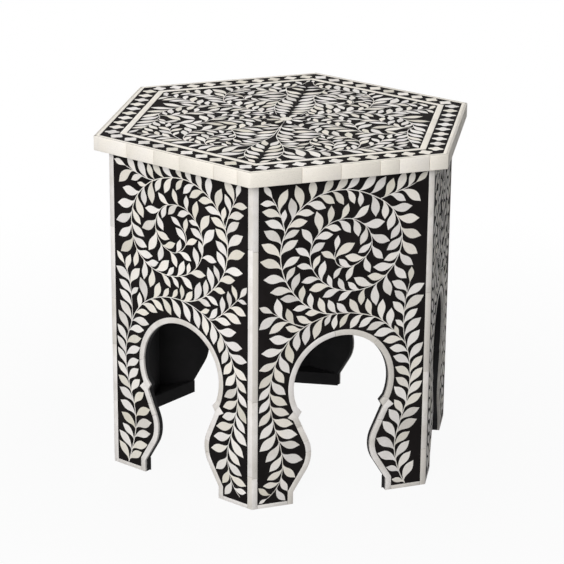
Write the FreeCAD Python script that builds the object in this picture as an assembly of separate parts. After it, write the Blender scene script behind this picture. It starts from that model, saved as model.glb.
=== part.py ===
"""Hexagonal bone-inlay stool with a keyhole arch in each of its six sides.

Millimetres. +Z is up, the origin is on the floor under the stool's centre, and the front
panel faces -Y. Panel pieces are drawn standing in the XZ plane, u to the right and z up as
seen from outside, and are then turned round the stool's axis to their own side.
"""
import FreeCAD, Part
import math
import os

# Overall sizes
stool_height = 450.0
top_corner_radius = 260.0
top_overhang = 20.0
side_count = 6

# Board and inlay thicknesses
top_core_thickness = 16.0
panel_board_thickness = 6.0
inlay_thickness = 3.0
edge_tile_thickness = 3.0

# Bone strips
corner_strip_width = 7.5
arch_border_width = 7.5
foot_strip_height = 5.5
seam_gap = 0.35

# Keyhole arch, measured on the opening's edge from the panel's middle line and the floor
horseshoe_radius = 64.5
horseshoe_centre_height = 157.5
foot_half_opening = 64.0
foot_corner_height = 16.5
bulge_half_opening = 40.0
bulge_height = 68.0
bulge_radius = 45.0
shoulder_half_opening = 58.0
shoulder_height = 118.0
# The cusp between leg and round, from the shoulder, on the opening and on the border's outer edge
cusp_reach = 4.5
cusp_rise = 7.5
spring_rise = 7.0
cusp_outer_reach = 7.0
cusp_outer_rise = 1.5
spring_outer_rise = 7.5

# Top inlay, each strip's width on the flat
top_edge_strip_width = 4.0
star_band_width = 23.0
inner_strip_width = 8.0
stars_per_side = 10
star_length = 20.0
star_width = 18.0
star_waist = 4.6
rosette_petals = 8
rosette_radius = 22.0
rosette_notch_radius = 9.0

# Foot blocks in the legs' inner corners
foot_block_height = 18.0
foot_block_overhang = 2.0

# Glued cleats that hold the top on the body
cleat_length = 150.0
cleat_size = 18.0

# Places of the seams between bone pieces, as shares of each strip's length
edge_seam_shares = (
    (0.258, 0.454, 0.652, 0.749, 0.905),
    (0.121, 0.333, 0.540, 0.716, 0.872),
    (0.190, 0.402, 0.561, 0.770),
    (0.142, 0.310, 0.525, 0.691, 0.880),
    (0.226, 0.418, 0.640, 0.824),
    (0.217, 0.395, 0.560, 0.774, 0.921),
)
corner_seam_shares = (
    (0.121, 0.371, 0.619),
    (0.155, 0.387, 0.735),
    (0.281, 0.465, 0.690),
    (0.175, 0.334, 0.762),
    (0.137, 0.506, 0.668),
    (0.104, 0.345, 0.803),
)
inner_strip_seam_shares = (0.21, 0.61)
bulge_seam_angle = 2.0
overrun = 1.0

# Worked out from the sizes above
half_turn_share = math.tan(math.pi / side_count)
flat_share = math.cos(math.pi / side_count)
top_thickness = top_core_thickness + inlay_thickness
body_corner_radius = top_corner_radius - top_overhang
body_height = stool_height - top_thickness
top_apothem = top_corner_radius * flat_share
body_apothem = body_corner_radius * flat_share
board_outer_apothem = body_apothem - inlay_thickness
board_inner_apothem = board_outer_apothem - panel_board_thickness
core_apothem = top_apothem - edge_tile_thickness
band_outer_apothem = core_apothem - top_edge_strip_width
band_inner_apothem = band_outer_apothem - star_band_width
field_apothem = band_inner_apothem - inner_strip_width
inlay_floor = stool_height - inlay_thickness
panel_half_width = body_apothem * half_turn_share
ground_half_width = panel_half_width - corner_strip_width

side_names = ("front", "front_right", "back_right", "back", "back_left", "front_left")
vertical = FreeCAD.Vector(0, 0, 1)
parts_folder = "parts"


def vec(x, y, z):
    return FreeCAD.Vector(x, y, z)


def turned(shape, side):
    """A copy of a front shape, turned round the stool's axis to another side."""
    copy = shape.copy()
    copy.rotate(vec(0, 0, 0), vertical, side * 360.0 / side_count)
    return copy


def prism(points, direction):
    """A straight-sided solid from a closed outline of points."""
    return Part.Face(Part.makePolygon(list(points) + [points[0]])).extrude(direction)


def hexagon(apothem, bottom, height):
    """A hexagonal plate with a flat side towards -Y."""
    radius = apothem / flat_share
    corners = []
    for side in range(side_count):
        angle = math.radians(360.0 * side / side_count)
        corners.append(vec(radius * math.cos(angle), radius * math.sin(angle), bottom))
    return prism(corners, vertical * height)


def side_bar(outer, inner, bottom, height):
    """One side of a hexagonal ring between two apothems, mitred at both ends."""
    outer_half = outer * half_turn_share
    inner_half = inner * half_turn_share
    corners = [
        vec(-outer_half, -outer, bottom),
        vec(outer_half, -outer, bottom),
        vec(inner_half, -inner, bottom),
        vec(-inner_half, -inner, bottom),
    ]
    return prism(corners, vertical * height)


def slab(centre, normal, reach):
    """A thin plate across a strip, as wide as a seam, square to normal."""
    plate = Part.makeBox(seam_gap, 2 * reach, 2 * reach)
    plate.translate(vec(-seam_gap / 2, -reach, -reach))
    plate.Placement = FreeCAD.Placement(
        centre, FreeCAD.Rotation(vec(1, 0, 0), normal)
    ).multiply(plate.Placement)
    return plate


def cut_all(shape, cutters):
    return shape.cut(Part.makeCompound(cutters)) if cutters else shape


def arch_edges(grow, floor):
    """Edges of the arch from its left foot over the crown to its right foot.

    grow is how far the outline lies outside the opening: zero for the opening's own edge,
    and the border's width for the border's outer edge. Arcs keep their centres.
    """
    bulge_x = -(bulge_half_opening + bulge_radius)
    up_x = -shoulder_half_opening - bulge_x
    up_z = shoulder_height - bulge_height
    down_x = -foot_half_opening - bulge_x
    down_z = bulge_height - foot_corner_height
    up = math.atan2(up_z, up_x) - math.acos(bulge_radius / math.hypot(up_x, up_z))
    down = math.atan2(down_z, down_x) - math.acos(bulge_radius / math.hypot(down_x, down_z))
    bend = bulge_radius - grow
    foot_x = -foot_half_opening - grow
    foot_corner = (foot_x, foot_corner_height + grow * math.tan(down / 2))

    def on_bulge(angle):
        return (bulge_x + bend * math.cos(angle), bulge_height + bend * math.sin(angle))

    shoulder = (
        -shoulder_half_opening - grow * math.cos(up),
        shoulder_height - grow * math.sin(up),
    )
    cusp_x = cusp_reach - shoulder_half_opening
    cusp_z = shoulder_height + cusp_rise
    spring_z = cusp_z + spring_rise
    if grow > 0:
        cusp_x = -shoulder_half_opening - grow - cusp_outer_reach
        cusp_z = shoulder_height + cusp_outer_rise
        spring_z = cusp_z + spring_outer_rise
    round_radius = horseshoe_radius + grow
    spring_x = -math.sqrt(round_radius**2 - (horseshoe_centre_height - spring_z) ** 2)

    def point(pair, side):
        return vec(side * pair[0], 0, pair[1])

    edges = []
    for side in (1, -1):
        half = [
            Part.LineSegment(point((foot_x, floor), side), point(foot_corner, side)),
            Part.LineSegment(point(foot_corner, side), point(on_bulge(-down), side)),
            Part.Arc(*[point(on_bulge(angle), side) for angle in (-down, (up - down) / 2, up)]),
            Part.LineSegment(point(on_bulge(up), side), point(shoulder, side)),
            Part.LineSegment(point(shoulder, side), point((cusp_x, cusp_z), side)),
            Part.LineSegment(point((cusp_x, cusp_z), side), point((spring_x, spring_z), side)),
        ]
        edges += [curve.toShape() for curve in half]
    crown = (0, horseshoe_centre_height + round_radius)
    round_top = Part.Arc(
        point((spring_x, spring_z), 1), point(crown, 1), point((spring_x, spring_z), -1)
    )
    return edges + [round_top.toShape()]


def arch_solid(grow, outer, inner, floor):
    """The arch's outline as a solid that runs from one apothem to another."""
    edges = arch_edges(grow, floor)
    feet = [
        vertex.Point for edge in edges for vertex in edge.Vertexes if vertex.Point.z <= floor
    ]
    edges.append(Part.LineSegment(feet[0], feet[-1]).toShape())
    face = Part.Face(Part.Wire(Part.__sortEdges__(edges)))
    face.translate(vec(0, -outer, 0))
    return face.extrude(vec(0, outer - inner, 0))


def panel_board():
    """The carcass board, mitred where it meets its neighbours, with the arch cut out."""
    board = side_bar(board_outer_apothem, board_inner_apothem, 0, body_height)
    opening = arch_solid(
        0, board_outer_apothem + overrun, board_inner_apothem - overrun, -overrun
    )
    return board.cut(opening)


def panel_ground():
    """The dark resin ground between the corner strips, down to the foot strips."""
    sheet = Part.makeBox(
        2 * ground_half_width, inlay_thickness, body_height - foot_strip_height
    )
    sheet.translate(vec(-ground_half_width, -body_apothem, foot_strip_height))
    arch = arch_solid(
        arch_border_width, body_apothem + overrun, board_outer_apothem - overrun, -overrun
    )
    return sheet.cut(arch)


def border_seam(start, end):
    """A cut through the border between two points of a panel's face."""
    depth = -(body_apothem + board_outer_apothem) / 2
    centre = vec((start[0] + end[0]) / 2, depth, (start[1] + end[1]) / 2)
    across = vec(start[1] - end[1], 0, end[0] - start[0])
    return slab(centre, across, arch_border_width)


def arch_border():
    """The bone border round the arch, in fitted pieces, with the strips under the legs."""
    outside = arch_solid(arch_border_width, body_apothem, board_outer_apothem, 0)
    inside = arch_solid(0, body_apothem + overrun, board_outer_apothem - overrun, -overrun)
    spring_z = shoulder_height + cusp_outer_rise + spring_outer_rise
    outer_radius = horseshoe_radius + arch_border_width
    spring_x = math.sqrt(outer_radius**2 - (horseshoe_centre_height - spring_z) ** 2)
    turn = math.radians(bulge_seam_angle)
    seams = []
    for side in (1, -1):
        shoulder = (side * shoulder_half_opening, shoulder_height)
        seams.append(border_seam(shoulder, (side * spring_x, spring_z)))
        bulge = [
            (
                side * (radius * math.cos(turn) - bulge_half_opening - bulge_radius),
                bulge_height + radius * math.sin(turn),
            )
            for radius in (bulge_radius, bulge_radius - arch_border_width)
        ]
        seams.append(border_seam(*bulge))
    pieces = cut_all(outside.cut(inside), seams).Solids
    foot_strip_start = foot_half_opening + arch_border_width
    for side in (1, -1):
        strip = Part.makeBox(
            ground_half_width - foot_strip_start, inlay_thickness, foot_strip_height
        )
        left = foot_strip_start if side > 0 else -ground_half_width
        strip.translate(vec(left, -body_apothem, 0))
        pieces.append(strip)
    return Part.makeCompound(pieces)


def corner_strip(corner):
    """The two bone strips that meet at one corner, with their seams at the same heights."""
    inner_half = board_outer_apothem * half_turn_share
    outline = [
        vec(ground_half_width, -body_apothem, 0),
        vec(panel_half_width, -body_apothem, 0),
        vec(inner_half, -board_outer_apothem, 0),
        vec(ground_half_width, -board_outer_apothem, 0),
    ]
    mirrored = [vec(-point.x, point.y, point.z) for point in outline]
    right = prism(outline, vertical * body_height)
    left = prism(mirrored, vertical * body_height)
    pieces = []
    for strip, side in ((right, corner), (left, corner + 1)):
        middle = strip.BoundBox.Center
        seams = [
            slab(vec(middle.x, middle.y, share * body_height), vertical, corner_strip_width)
            for share in corner_seam_shares[corner]
        ]
        pieces += [turned(piece, side) for piece in cut_all(strip, seams).Solids]
    return Part.makeCompound(pieces)


def foot_block(corner):
    """The block glued into a leg's inner corner, its long face square to the corner."""
    reach = board_inner_apothem * half_turn_share
    inset = foot_half_opening - foot_block_overhang
    right_end = vec(inset, -board_inner_apothem, 0)
    left_end = vec(-inset, -board_inner_apothem, 0)
    spin = FreeCAD.Rotation(vertical, 360.0 / side_count)
    outline = [right_end, vec(reach, -board_inner_apothem, 0), spin.multVec(left_end)]
    return turned(prism(outline, vertical * foot_block_height), corner)


def cleat():
    """The batten glued inside one panel, under the top."""
    batten = Part.makeBox(cleat_length, cleat_size, cleat_size)
    batten.translate(vec(-cleat_length / 2, -board_inner_apothem, body_height - cleat_size))
    return batten


def edge_tiles(side):
    """The bone tiles on one side of the top's edge."""
    bar = side_bar(top_apothem, core_apothem, body_height, top_thickness)
    middle = bar.BoundBox.Center
    length = top_corner_radius
    seams = [
        slab(vec((share - 0.5) * length, middle.y, middle.z), vec(1, 0, 0), top_thickness)
        for share in edge_seam_shares[side]
    ]
    return Part.makeCompound([turned(tile, side) for tile in cut_all(bar, seams).Solids])


def strip_ring(outer, inner, seam_shares):
    """A ring of flat bone strips in the top's inlay, mitred at the corners."""
    bar = side_bar(outer, inner, inlay_floor, inlay_thickness)
    middle = bar.BoundBox.Center
    length = 2 * inner * half_turn_share
    seams = [
        slab(vec((share - 0.5) * length, middle.y, middle.z), vec(1, 0, 0), outer - inner)
        for share in seam_shares
    ]
    pieces = cut_all(bar, seams).Solids
    return Part.makeCompound([turned(p, side) for side in range(side_count) for p in pieces])


def star():
    """A four-pointed star for the border band, at the band's middle on the front side."""
    outline = []
    for step in range(8):
        angle = math.radians(45.0 * step)
        long_way = star_width / 2 if step % 4 == 0 else star_length / 2
        reach = long_way if step % 2 == 0 else star_waist
        outline.append(vec(reach * math.cos(angle), reach * math.sin(angle), inlay_floor))
    solid = prism(outline, vertical * inlay_thickness)
    solid.translate(vec(0, -(band_outer_apothem + band_inner_apothem) / 2, 0))
    return solid


def border_stars():
    """All the border's stars, evenly spaced along every side."""
    run = (band_outer_apothem + band_inner_apothem) * half_turn_share
    pitch = run / stars_per_side
    stars = []
    for side in range(side_count):
        for count in range(stars_per_side):
            piece = star()
            piece.translate(vec((count + 0.5 - stars_per_side / 2) * pitch, 0, 0))
            stars.append(turned(piece, side))
    return stars


def rosette():
    """The flower in the middle of the top: pointed petals round a middle."""
    outline = []
    for step in range(2 * rosette_petals):
        angle = math.pi * step / rosette_petals
        reach = rosette_notch_radius if step % 2 else rosette_radius
        outline.append(vec(reach * math.cos(angle), reach * math.sin(angle), inlay_floor))
    return prism(outline, vertical * inlay_thickness)


def build():
    """Every node's shape by name."""
    nodes = {"top_core": hexagon(core_apothem, body_height, top_core_thickness)}
    stars = border_stars()
    band = hexagon(band_outer_apothem, inlay_floor, inlay_thickness)
    band = band.cut(hexagon(band_inner_apothem, inlay_floor, inlay_thickness))
    nodes["top_border_ground"] = cut_all(band, stars)
    nodes["top_border_stars"] = Part.makeCompound(stars)
    nodes["top_edge_strip"] = strip_ring(core_apothem, band_outer_apothem, ())
    nodes["top_inner_strip"] = strip_ring(
        band_inner_apothem, field_apothem, inner_strip_seam_shares
    )
    field = hexagon(field_apothem, inlay_floor, inlay_thickness)
    nodes["top_field_ground"] = field.cut(rosette())
    nodes["top_rosette"] = rosette()
    for side, name in enumerate(side_names):
        nodes[name + "_panel_board"] = turned(panel_board(), side)
        nodes[name + "_ground"] = turned(panel_ground(), side)
        nodes[name + "_arch_border"] = turned(arch_border(), side)
        nodes[name + "_cleat"] = turned(cleat(), side)
        nodes[name + "_edge_tiles"] = edge_tiles(side)
        nodes["corner_strip_" + str(side + 1)] = corner_strip(side)
        nodes["foot_block_" + str(side + 1)] = foot_block(side)
    return nodes


def main():
    os.makedirs(parts_folder, exist_ok=True)
    for name, shape in build().items():
        shape.exportStep(os.path.join(parts_folder, name + ".step"))
        print(name, len(shape.Solids), "solids", round(shape.Volume), "mm3", shape.isValid())


main()
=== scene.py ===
# %% [markdown]
# # A hexagonal stool, inlaid with bone
# The stool is a small hexagonal table of black-painted boards. Its six sides and its top are
# faced with thin pieces of bone set in black resin: strips along every edge, a border round
# each keyhole arch, and winding stems with leaves. The frame below is the measured model, and
# this lesson dresses it. Nothing in the frame is moved, and the main sizes are read from it.

import bpy
import numpy as np
from mathutils import Matrix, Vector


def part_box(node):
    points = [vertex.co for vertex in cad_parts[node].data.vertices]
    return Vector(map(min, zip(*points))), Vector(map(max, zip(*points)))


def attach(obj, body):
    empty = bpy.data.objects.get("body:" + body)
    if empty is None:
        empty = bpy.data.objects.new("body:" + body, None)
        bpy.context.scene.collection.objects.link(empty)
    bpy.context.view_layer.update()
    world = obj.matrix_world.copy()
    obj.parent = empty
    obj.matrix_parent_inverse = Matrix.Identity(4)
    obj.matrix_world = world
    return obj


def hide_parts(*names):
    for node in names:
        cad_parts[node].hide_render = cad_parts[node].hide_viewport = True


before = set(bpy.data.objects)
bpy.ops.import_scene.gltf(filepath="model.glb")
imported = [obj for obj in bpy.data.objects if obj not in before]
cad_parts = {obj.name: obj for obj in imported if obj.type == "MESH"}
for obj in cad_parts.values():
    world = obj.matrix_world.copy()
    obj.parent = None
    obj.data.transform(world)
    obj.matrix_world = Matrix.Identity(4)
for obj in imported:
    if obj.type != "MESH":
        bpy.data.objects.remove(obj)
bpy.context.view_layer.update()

# %% [markdown]
# Drawings are made flat, in millimetres: on a side, u runs to the right and z runs up as
# seen from outside, and on the top x and y are the frame's own. A carrier is a function that
# takes a flat drawing to its place. A third number, depth, is how far a point lies outside
# the surface. The sizes of the surfaces come from the frame's boxes.

# %% Sizes read from the frame
MM = 0.001
SIDES = ("front", "front_right", "back_right", "back", "back_left", "front_left")
side_share = np.tan(np.pi / 6)  # half a side's length over its distance from the middle


def apothem_of(node):
    """Distance of a node's front face from the stool's middle."""
    return -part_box(node)[0].y / MM


ground_low, ground_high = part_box("front_ground")
body_apothem = apothem_of("front_ground")
panel_half_width = body_apothem * side_share
ground_half_width = ground_high.x / MM
inlay_thickness = (ground_high.y - ground_low.y) / MM
foot_strip_height = ground_low.z / MM
body_height = ground_high.z / MM
stool_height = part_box("front_edge_tiles")[1].z / MM
top_apothem = apothem_of("front_edge_tiles")
tile_thickness = 3.0
core_apothem = top_apothem - tile_thickness
band_outer_apothem = apothem_of("top_border_ground")
band_inner_apothem = apothem_of("top_inner_strip")
field_apothem = apothem_of("top_field_ground")
print("body apothem", round(body_apothem, 2), "top apothem", round(top_apothem, 2), "mm")


# %% Carry a flat drawing to its place
def turned(points, angle):
    """Flat points turned anticlockwise: x cos - y sin and x sin + y cos."""
    cos, sin = np.cos(angle), np.sin(angle)
    return points @ np.array([[cos, sin], [-sin, cos]])


def on_panel(side, apothem=body_apothem):
    """A carrier to a side: u along it, z up, depth outwards, turned by 60 degrees a side."""

    def carry(flat, depth):
        seen_from_above = np.stack([flat[..., 0], -(apothem + depth)], axis=-1)
        place_on_floor = turned(seen_from_above, np.radians(60.0 * side))
        return MM * np.concatenate([place_on_floor, flat[..., 1:2]], axis=-1)

    return carry


def on_top(side):
    """A carrier to the top: x and y turned by 60 degrees a side, depth upwards."""

    def carry(flat, depth):
        level = stool_height + depth[..., None]
        return MM * np.concatenate([turned(flat, np.radians(60.0 * side)), level], axis=-1)

    return carry


print("foot of the front side:", on_panel(0)(np.zeros((1, 2)), np.zeros(1)).round(4), "m")

# %% [markdown]
# Every piece of bone is a closed shell: a ring of points carried along the piece, with a cap
# at each end. A collector gathers the rings of many pieces and turns them into one mesh with
# whole-array steps. It also stores three values that the bone finish reads: a tone for each
# piece, because no two cuts of bone have the same colour, the place along and across the
# grain, and how near the piece's lower edge a point is, where the finish paints shade.

# %% Gather pieces into a mesh
sharp_angle = np.radians(35.0)


class Pieces:
    """Rings of points of shape (stations, ring, 3), one array for each closed piece."""

    def __init__(self):
        self.rings, self.tones, self.grains, self.edges = [], [], [], []

    def add(self, ring, tone, grain, edge):
        """Keeps one piece: its points, and its tone, grain place and edge at each of them."""
        self.rings.append(ring)
        self.tones.append(np.full(ring.shape[:2], tone))
        self.grains.append(grain)
        self.edges.append(np.broadcast_to(edge, ring.shape[:2]))

    def faces(self):
        """Quads between neighbouring stations and ring points, then a cap at each end."""
        faces, start = [], 0
        for ring in self.rings:
            index = start + np.arange(ring.size // 3).reshape(ring.shape[:2])
            ahead = np.roll(index, -1, axis=1)
            quads = np.stack([index[:-1], ahead[:-1], ahead[1:], index[1:]], axis=-1)
            faces += quads.reshape(-1, 4).tolist()
            faces += [index[0, ::-1].tolist(), index[-1].tolist()]
            start += index.size
        return faces

    def mesh(self, name):
        """All the pieces as one mesh, smooth but for creases sharper than sharp_angle."""
        mesh = bpy.data.meshes.new(name)
        points = np.concatenate([ring.reshape(-1, 3) for ring in self.rings])
        mesh.from_pydata(points.tolist(), [], self.faces())
        mesh.shade_smooth()
        mesh.set_sharp_from_angle(angle=sharp_angle)
        for label, kind, field, values in (
            ("tone", "FLOAT", "value", self.tones),
            ("edge", "FLOAT", "value", self.edges),
            ("grain", "FLOAT_VECTOR", "vector", self.grains),
        ):
            flat = np.concatenate([value.ravel() for value in values])
            mesh.attributes.new(label, kind, "POINT").data.foreach_set(field, flat)
        return mesh


def place(pieces, name, finish, replaced=()):
    """Makes the collected pieces an object that rides on the stool and takes a finish."""
    obj = bpy.data.objects.new(name, pieces.mesh(name))
    bpy.context.scene.collection.objects.link(obj)
    obj.data.materials.append(finish)
    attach(obj, "root")
    if replaced:
        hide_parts(*replaced)
    print(name, "has", len(pieces.rings), "pieces and", len(obj.data.polygons), "faces")


# %% [markdown]
# ## Finishes
# The colours are written as seen in daylight. Blender mixes light in linear values, so one
# helper turns a colour of 0 to 255 into linear numbers. The others add a node to a material
# or a group, and most give back the socket that the next node needs.

# %% Colour and node helpers
FLOAT, COLOR = "NodeSocketFloat", "NodeSocketColor"


def colour(red, green, blue):
    """A colour as painted, 0 to 255, in linear light: power 2.4 above the toe, straight below."""
    c = np.array([red, green, blue]) / 255.0
    linear = np.where(c > 0.04045, ((c + 0.055) / 1.055) ** 2.4, c / 12.92)
    return (*linear.tolist(), 1.0)


def set_inputs(tree, node, inputs):
    """Gives a node its inputs, each a value or the socket of another node."""
    for key, value in inputs.items():
        if isinstance(value, bpy.types.NodeSocket):
            tree.links.new(value, node.inputs[key])
        else:
            node.inputs[key].default_value = value


def add_node(tree, kind, inputs=None, **settings):
    """A node of this kind, with its inputs and its own settings."""
    node = tree.nodes.new("ShaderNode" + kind)
    for key, value in settings.items():
        setattr(node, key, value)
    set_inputs(tree, node, inputs or {})
    return node


def math_node(tree, operation, *values):
    """The result of a sum on values or sockets, such as a * b + c for MULTIPLY_ADD."""
    return add_node(tree, "Math", dict(enumerate(values)), operation=operation).outputs[0]


def noise_node(tree, vector, scale, detail):
    """Noise about 0.5, with marks about 1 / scale of a metre wide."""
    inputs = {"Vector": vector, "Scale": scale, "Detail": detail}
    return add_node(tree, "TexNoise", inputs).outputs["Fac"]


def range_node(tree, value, start, stop, low=0.0, high=1.0):
    """Spreads values between start and stop over low to high, and holds them outside."""
    inputs = {"Value": value, "From Min": start, "From Max": stop, "To Min": low, "To Max": high}
    return add_node(tree, "MapRange", inputs).outputs["Result"]


def relief_node(tree, height, millimetres, strength):
    """The normal of a surface whose height swings by so many millimetres."""
    inputs = {"Height": height, "Distance": millimetres * MM, "Strength": strength}
    return add_node(tree, "Bump", inputs).outputs["Normal"]


def ramp_node(tree, factor, stops):
    """A colour ramp from (position, colour) pairs."""
    node = add_node(tree, "ValToRGB", {"Fac": factor})
    elements = node.color_ramp.elements
    while len(elements) < len(stops):
        elements.new(0.5)
    for element, (position, shade) in zip(elements, stops):
        element.position = position
        element.color = shade
    return node.outputs["Color"]


def new_group(name, inputs, outputs):
    """An empty node group, from its inputs' usual values and its outputs' kinds."""
    group = bpy.data.node_groups.new(name, "ShaderNodeTree")
    for label, value in inputs.items():
        socket = group.interface.new_socket(label, in_out="INPUT", socket_type=FLOAT)
        socket.default_value = value
    for label, kind in outputs.items():
        group.interface.new_socket(label, in_out="OUTPUT", socket_type=kind)
    given = group.nodes.new("NodeGroupInput").outputs
    return group, given, group.nodes.new("NodeGroupOutput")


def new_material(name):
    """A material with its node tree and its own shader, the Principled BSDF."""
    material = bpy.data.materials.new(name)
    material.use_nodes = True
    return material, material.node_tree, material.node_tree.nodes["Principled BSDF"]


# %% [markdown]
# Bone is pale and fine-grained. Sawn and sanded, it shows faint streaks along its length,
# short dark pores, and soft clouds of cream. The group reads the grain place stored in the
# mesh, so the streaks follow each leaf round its bend. The strips and the leaves are the same
# bone with other amounts, which is why this is a group.

# %% Bone figure group
bone_figure, given, result = new_group(
    "bone_figure",
    {
        "Streaks": 0.1,
        "Pores": 0.26,
        "Clouds": 0.06,
        # the edge amount darkens the bone near each piece's lower edge, as painted shade
        "Edge Shade": 0.5,
        "Variety": 0.15,
        "Warmth": 0.0,
    },
    {"Color": COLOR, "Roughness": FLOAT, "Height": FLOAT},
)
tone, grain, edge = (
    add_node(bone_figure, "Attribute", attribute_name=label).outputs
    for label in ("tone", "grain", "edge")
)


def grain_noise(stretch, detail):
    """Noise on the grain place, stretched so that its marks lie along the piece."""
    inputs = {0: grain["Vector"], 1: stretch}
    stretched = add_node(bone_figure, "VectorMath", inputs, operation="MULTIPLY").outputs[0]
    return noise_node(bone_figure, stretched, 1.0, detail)


streak = grain_noise((120.0, 1500.0, 40.0), 3.0)
pore = range_node(bone_figure, grain_noise((500.0, 3200.0, 90.0), 1.0), 0.63, 0.72)
object_place = add_node(bone_figure, "TexCoord").outputs["Object"]
cloud = noise_node(bone_figure, object_place, 45.0, 2.0)
cloud_swing = math_node(bone_figure, "SUBTRACT", cloud, 0.5)
streak_swing = math_node(bone_figure, "SUBTRACT", streak, 0.45)

# %% [markdown]
# The bone's colour comes from a ramp, from warm cream over white to a cool grey. A piece's
# tone chooses the place on the ramp, and the clouds shift it a little. Then each kind of mark
# darkens the colour by its own amount, and so does a shade that is different for each piece.
# The darkening near a piece's lower edge is painted shade, where the bone meets the resin.

# %% Mix the bone's colour
warm_tone = math_node(bone_figure, "MULTIPLY_ADD", cloud_swing, 0.35, tone["Fac"])
bone_shade = ramp_node(
    bone_figure,
    math_node(bone_figure, "SUBTRACT", warm_tone, given["Warmth"]),
    [
        (0.0, colour(212, 206, 192)),
        (0.15, colour(223, 218, 207)),
        (0.35, colour(232, 226, 216)),
        (0.6, colour(234, 230, 225)),
        (0.85, colour(230, 226, 223)),
        (1.0, colour(212, 207, 200)),
    ],
)
piece_number = add_node(bone_figure, "SeparateXYZ", {0: grain["Vector"]}).outputs["Z"]
piece_shade = math_node(bone_figure, "PINGPONG", piece_number, 1.0)
dark = 0.0
for mark, amount in (
    (streak_swing, "Streaks"),
    (pore, "Pores"),
    (cloud_swing, "Clouds"),
    # the edge mark is painted shade at the foot of each piece's edge
    (edge["Fac"], "Edge Shade"),
    (math_node(bone_figure, "POWER", piece_shade, 2.0), "Variety"),
):
    dark = math_node(bone_figure, "MULTIPLY_ADD", mark, given[amount], dark)
light = {0: bone_shade, "Scale": math_node(bone_figure, "SUBTRACT", 1.0, dark)}
streak_height = math_node(bone_figure, "MULTIPLY", streak, 0.4)
set_inputs(
    bone_figure,
    result,
    {
        "Color": add_node(bone_figure, "VectorMath", light, operation="SCALE").outputs[0],
        "Roughness": math_node(bone_figure, "MULTIPLY_ADD", streak, 0.22, 0.46),
        "Height": math_node(bone_figure, "SUBTRACT", streak_height, pore),
    },
)
print("bone figure:", len(bone_figure.nodes), "nodes")


# %% Bone finishes
def bone_finish(name, amounts):
    """Bone with its figure, set by the group's inputs, and a fine relief."""
    material, tree, shader = new_material(name)
    figure = add_node(tree, "Group", amounts, node_tree=bone_figure).outputs
    finish = {
        "Base Color": figure["Color"],
        "Roughness": figure["Roughness"],
        "Normal": relief_node(tree, figure["Height"], 0.03, 0.5),
        "Specular IOR Level": 0.2,
    }
    set_inputs(tree, shader, finish)
    return material


# the edge amount here is painted shade at the foot of the strips' edges
strip_amounts = {"Streaks": 0.12, "Edge Shade": 0.3}
leaf_bone = bone_finish("leaf_bone", {})
rim_bone = bone_finish("rim_bone", {**strip_amounts, "Variety": 0.02, "Warmth": 0.16})
strip_bone = bone_finish("strip_bone", {**strip_amounts, "Variety": 0.08, "Warmth": -0.44})
print("bone finishes:", leaf_bone.name, rim_bone.name, strip_bone.name)

# %% [markdown]
# The black ground is resin, poured round the bone and sanded flush with it. Up close it has a
# soft satin shine that differs a little from place to place, fine sanding marks, and a haze of
# pale dust. The boards behind are painted black, and their grain shows in the paint. Both
# need the same kind of fine scratches, so those are a group too.

# %% Sanding marks group
sanding, given, result = new_group(
    "sanding_marks", {"Scale": 400.0}, {"Marks": FLOAT, "Haze": FLOAT}
)
mark_turn = (0.5, 0.4, 0.6)
mark_squeeze = (1, 1, 14)
object_place = add_node(sanding, "TexCoord").outputs["Object"]
mapped = {"Vector": object_place, "Rotation": mark_turn, "Scale": mark_squeeze}
across_marks = add_node(sanding, "Mapping", mapped).outputs[0]
marks = noise_node(sanding, across_marks, given["Scale"], 2.0)
haze = noise_node(sanding, object_place, 25.0, 3.0)
set_inputs(sanding, result, {"Marks": marks, "Haze": haze})
print("sanding marks:", len(sanding.nodes), "nodes")


# %% Resin and painted wood
def dark_finish(name, deep, dusty, rough, relief, specular, scale):
    """A dark surface: its colour follows the haze, its roughness and relief the marks."""
    material, tree, shader = new_material(name)
    sanded = add_node(tree, "Group", {"Scale": scale}, node_tree=sanding).outputs
    finish = {
        "Base Color": ramp_node(tree, sanded["Haze"], [(0.3, deep), (0.75, dusty)]),
        "Roughness": range_node(tree, sanded["Marks"], 0.0, 1.0, *rough),
        "Normal": relief_node(tree, sanded["Marks"], relief, 0.4),
        "Specular IOR Level": specular,
    }
    set_inputs(tree, shader, finish)
    return material


resin_shades = colour(24, 22, 22), colour(33, 30, 30)
paint_shades = colour(36, 36, 37), colour(47, 46, 47)
black_resin = dark_finish("black_resin", *resin_shades, (0.6, 0.8), 0.02, 0.015, 400.0)
painted_wood = dark_finish("black_painted_wood", *paint_shades, (0.5, 0.75), 0.15, 0.05, 120.0)
for name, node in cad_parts.items():
    for slot in node.material_slots:
        slot.material = black_resin if name.endswith("ground") else painted_wood
print("dark finishes:", black_resin.name, painted_wood.name)

# %% [markdown]
# ## Bone strips
# A strip piece is a flat bar with eased edges. It is drawn as two matched lines, its left and
# its right edge as seen while walking along it, and a ring of points is laid across at every
# station: down the left side, over the face and down the right side. The first and last
# stations are lowered a little, so that the ends are eased as well. A long strip is cut into
# pieces with narrow gaps, because bone comes in short lengths.

# %% Lines and grain
tone_source = np.random.default_rng(11)


def lengths_along(line):
    """Distance from the line's start to each of its points."""
    steps = np.linalg.norm(np.diff(line, axis=0), axis=1)
    return np.concatenate([[0.0], np.cumsum(steps)])


def pick(line, run, at):
    """The points of a line at given distances along it."""
    return np.stack([np.interp(at, run, line[:, k]) for k in range(line.shape[1])], axis=-1)


def level_line(start, stop, level, count=2):
    """A straight line from start to stop at one level."""
    return np.stack([np.linspace(start, stop, count), np.full(count, level)], axis=-1)


def on_circle(radius, angle, middle=(0.0, 0.0)):
    """Points at middle + radius * (cos, sin) of each angle."""
    return middle + np.stack([radius * np.cos(angle), radius * np.sin(angle)], axis=-1)


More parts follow.
